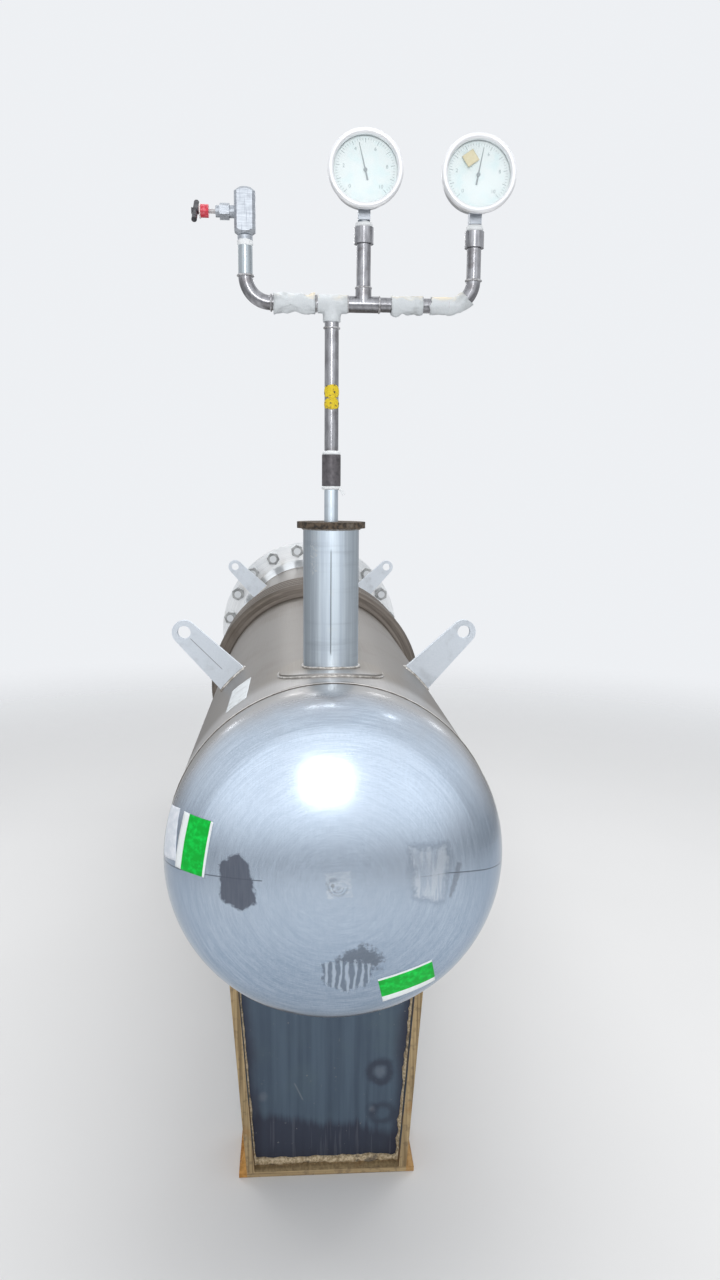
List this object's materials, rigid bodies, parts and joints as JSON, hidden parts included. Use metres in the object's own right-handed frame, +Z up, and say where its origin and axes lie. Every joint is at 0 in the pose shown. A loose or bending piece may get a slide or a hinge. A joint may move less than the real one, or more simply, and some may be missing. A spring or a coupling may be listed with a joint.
{
  "type": "horizontal pressure tank",
  "caption": "Horizontal pressure tank on two saddles, with domed head, bellows ring, bolted cover, lifting lugs and a nozzle that carries a gauge and valve test tree.",
  "frame": {"origin": "on the floor under the middle of the overall length and width", "axes": "+Y along the shell from the domed head to the bolted cover, +Z up, +X to the right when facing the domed head"},
  "size_m": [0.813, 3.1368, 2.199],
  "materials": {
    "head": "satin brushed stainless with arc scratches and grinding marks",
    "shell": "warm grey brushed stainless plate",
    "bellows": "dull grey-brown formed stainless",
    "weld": "heat-tinted weld metal",
    "flange": "bright machined steel",
    "gasket": "dark filler in a wound gasket",
    "bolting": "grey zinc on steel",
    "nozzle": "light blue-grey satin stainless",
    "rusty_disc": "brown rusted plate",
    "pipe": "grey drawn steel pipe",
    "dark_fitting": "dark oiled steel fitting",
    "valve": "bright stainless bar",
    "valve_grip": "red sleeve on a dark steel bar",
    "gauge_case": "bright polished rim",
    "gauge_dial": "pale enamel",
    "gauge_window": "clear flat window",
    "gauge_pointer": "black",
    "lug": "light matte plate with bright cut edges",
    "saddle_web": "dark blue-grey mill scale",
    "saddle_edge": "orange-brown rusted cut plate"
  },
  "bodies": {
    "root": {"front_head": "head", "front_shell": "shell", "bellows": "bellows", "rear_shell": "shell", "weld_beads": "weld", "shell_flange": "flange", "flange_gasket": "gasket", "cover_flange": "flange", "flange_studs": "bolting", "front_nuts": "bolting", "rear_nuts": "bolting", "nozzle_pad": "shell", "nozzle_pipe": "nozzle", "blanking_disc": "rusty_disc", "stub_pipe": "pipe", "stub_coupling": "dark_fitting", "main_riser": "pipe", "main_tee": "pipe", "left_pipe": "pipe", "left_elbow": "pipe", "gauge_tee": "pipe", "right_pipe": "pipe", "right_elbow": "pipe", "top_risers": "pipe", "valve_body": "valve", "valve_bonnet": "valve", "gauge_sockets": "dark_fitting", "gauge_stems": "valve", "gauge_cases": "gauge_case", "gauge_bezels": "gauge_case", "gauge_dials": "gauge_dial", "gauge_windows": "gauge_window", "gauge_pointers": "gauge_pointer", "front_lugs": "lug", "rear_lugs": "lug", "front_wear_plate": "shell", "front_saddle_webs": "saddle_web", "front_saddle_sides": "saddle_edge", "front_saddle_base": "saddle_edge", "rear_wear_plate": "shell", "rear_saddle_webs": "saddle_web", "rear_saddle_sides": "saddle_edge", "rear_saddle_base": "saddle_edge"},
    "valve_handle": {"valve_handle": "valve_grip"}
  },
  "joints": [
    {"name": "valve_turn", "type": "hinge", "parent": "root", "child": "valve_handle", "pos_m": [-0.213, -1.20463, 2.0585], "axis": [-1, 0, 0], "range_deg": [0, 1350]}
  ]
}
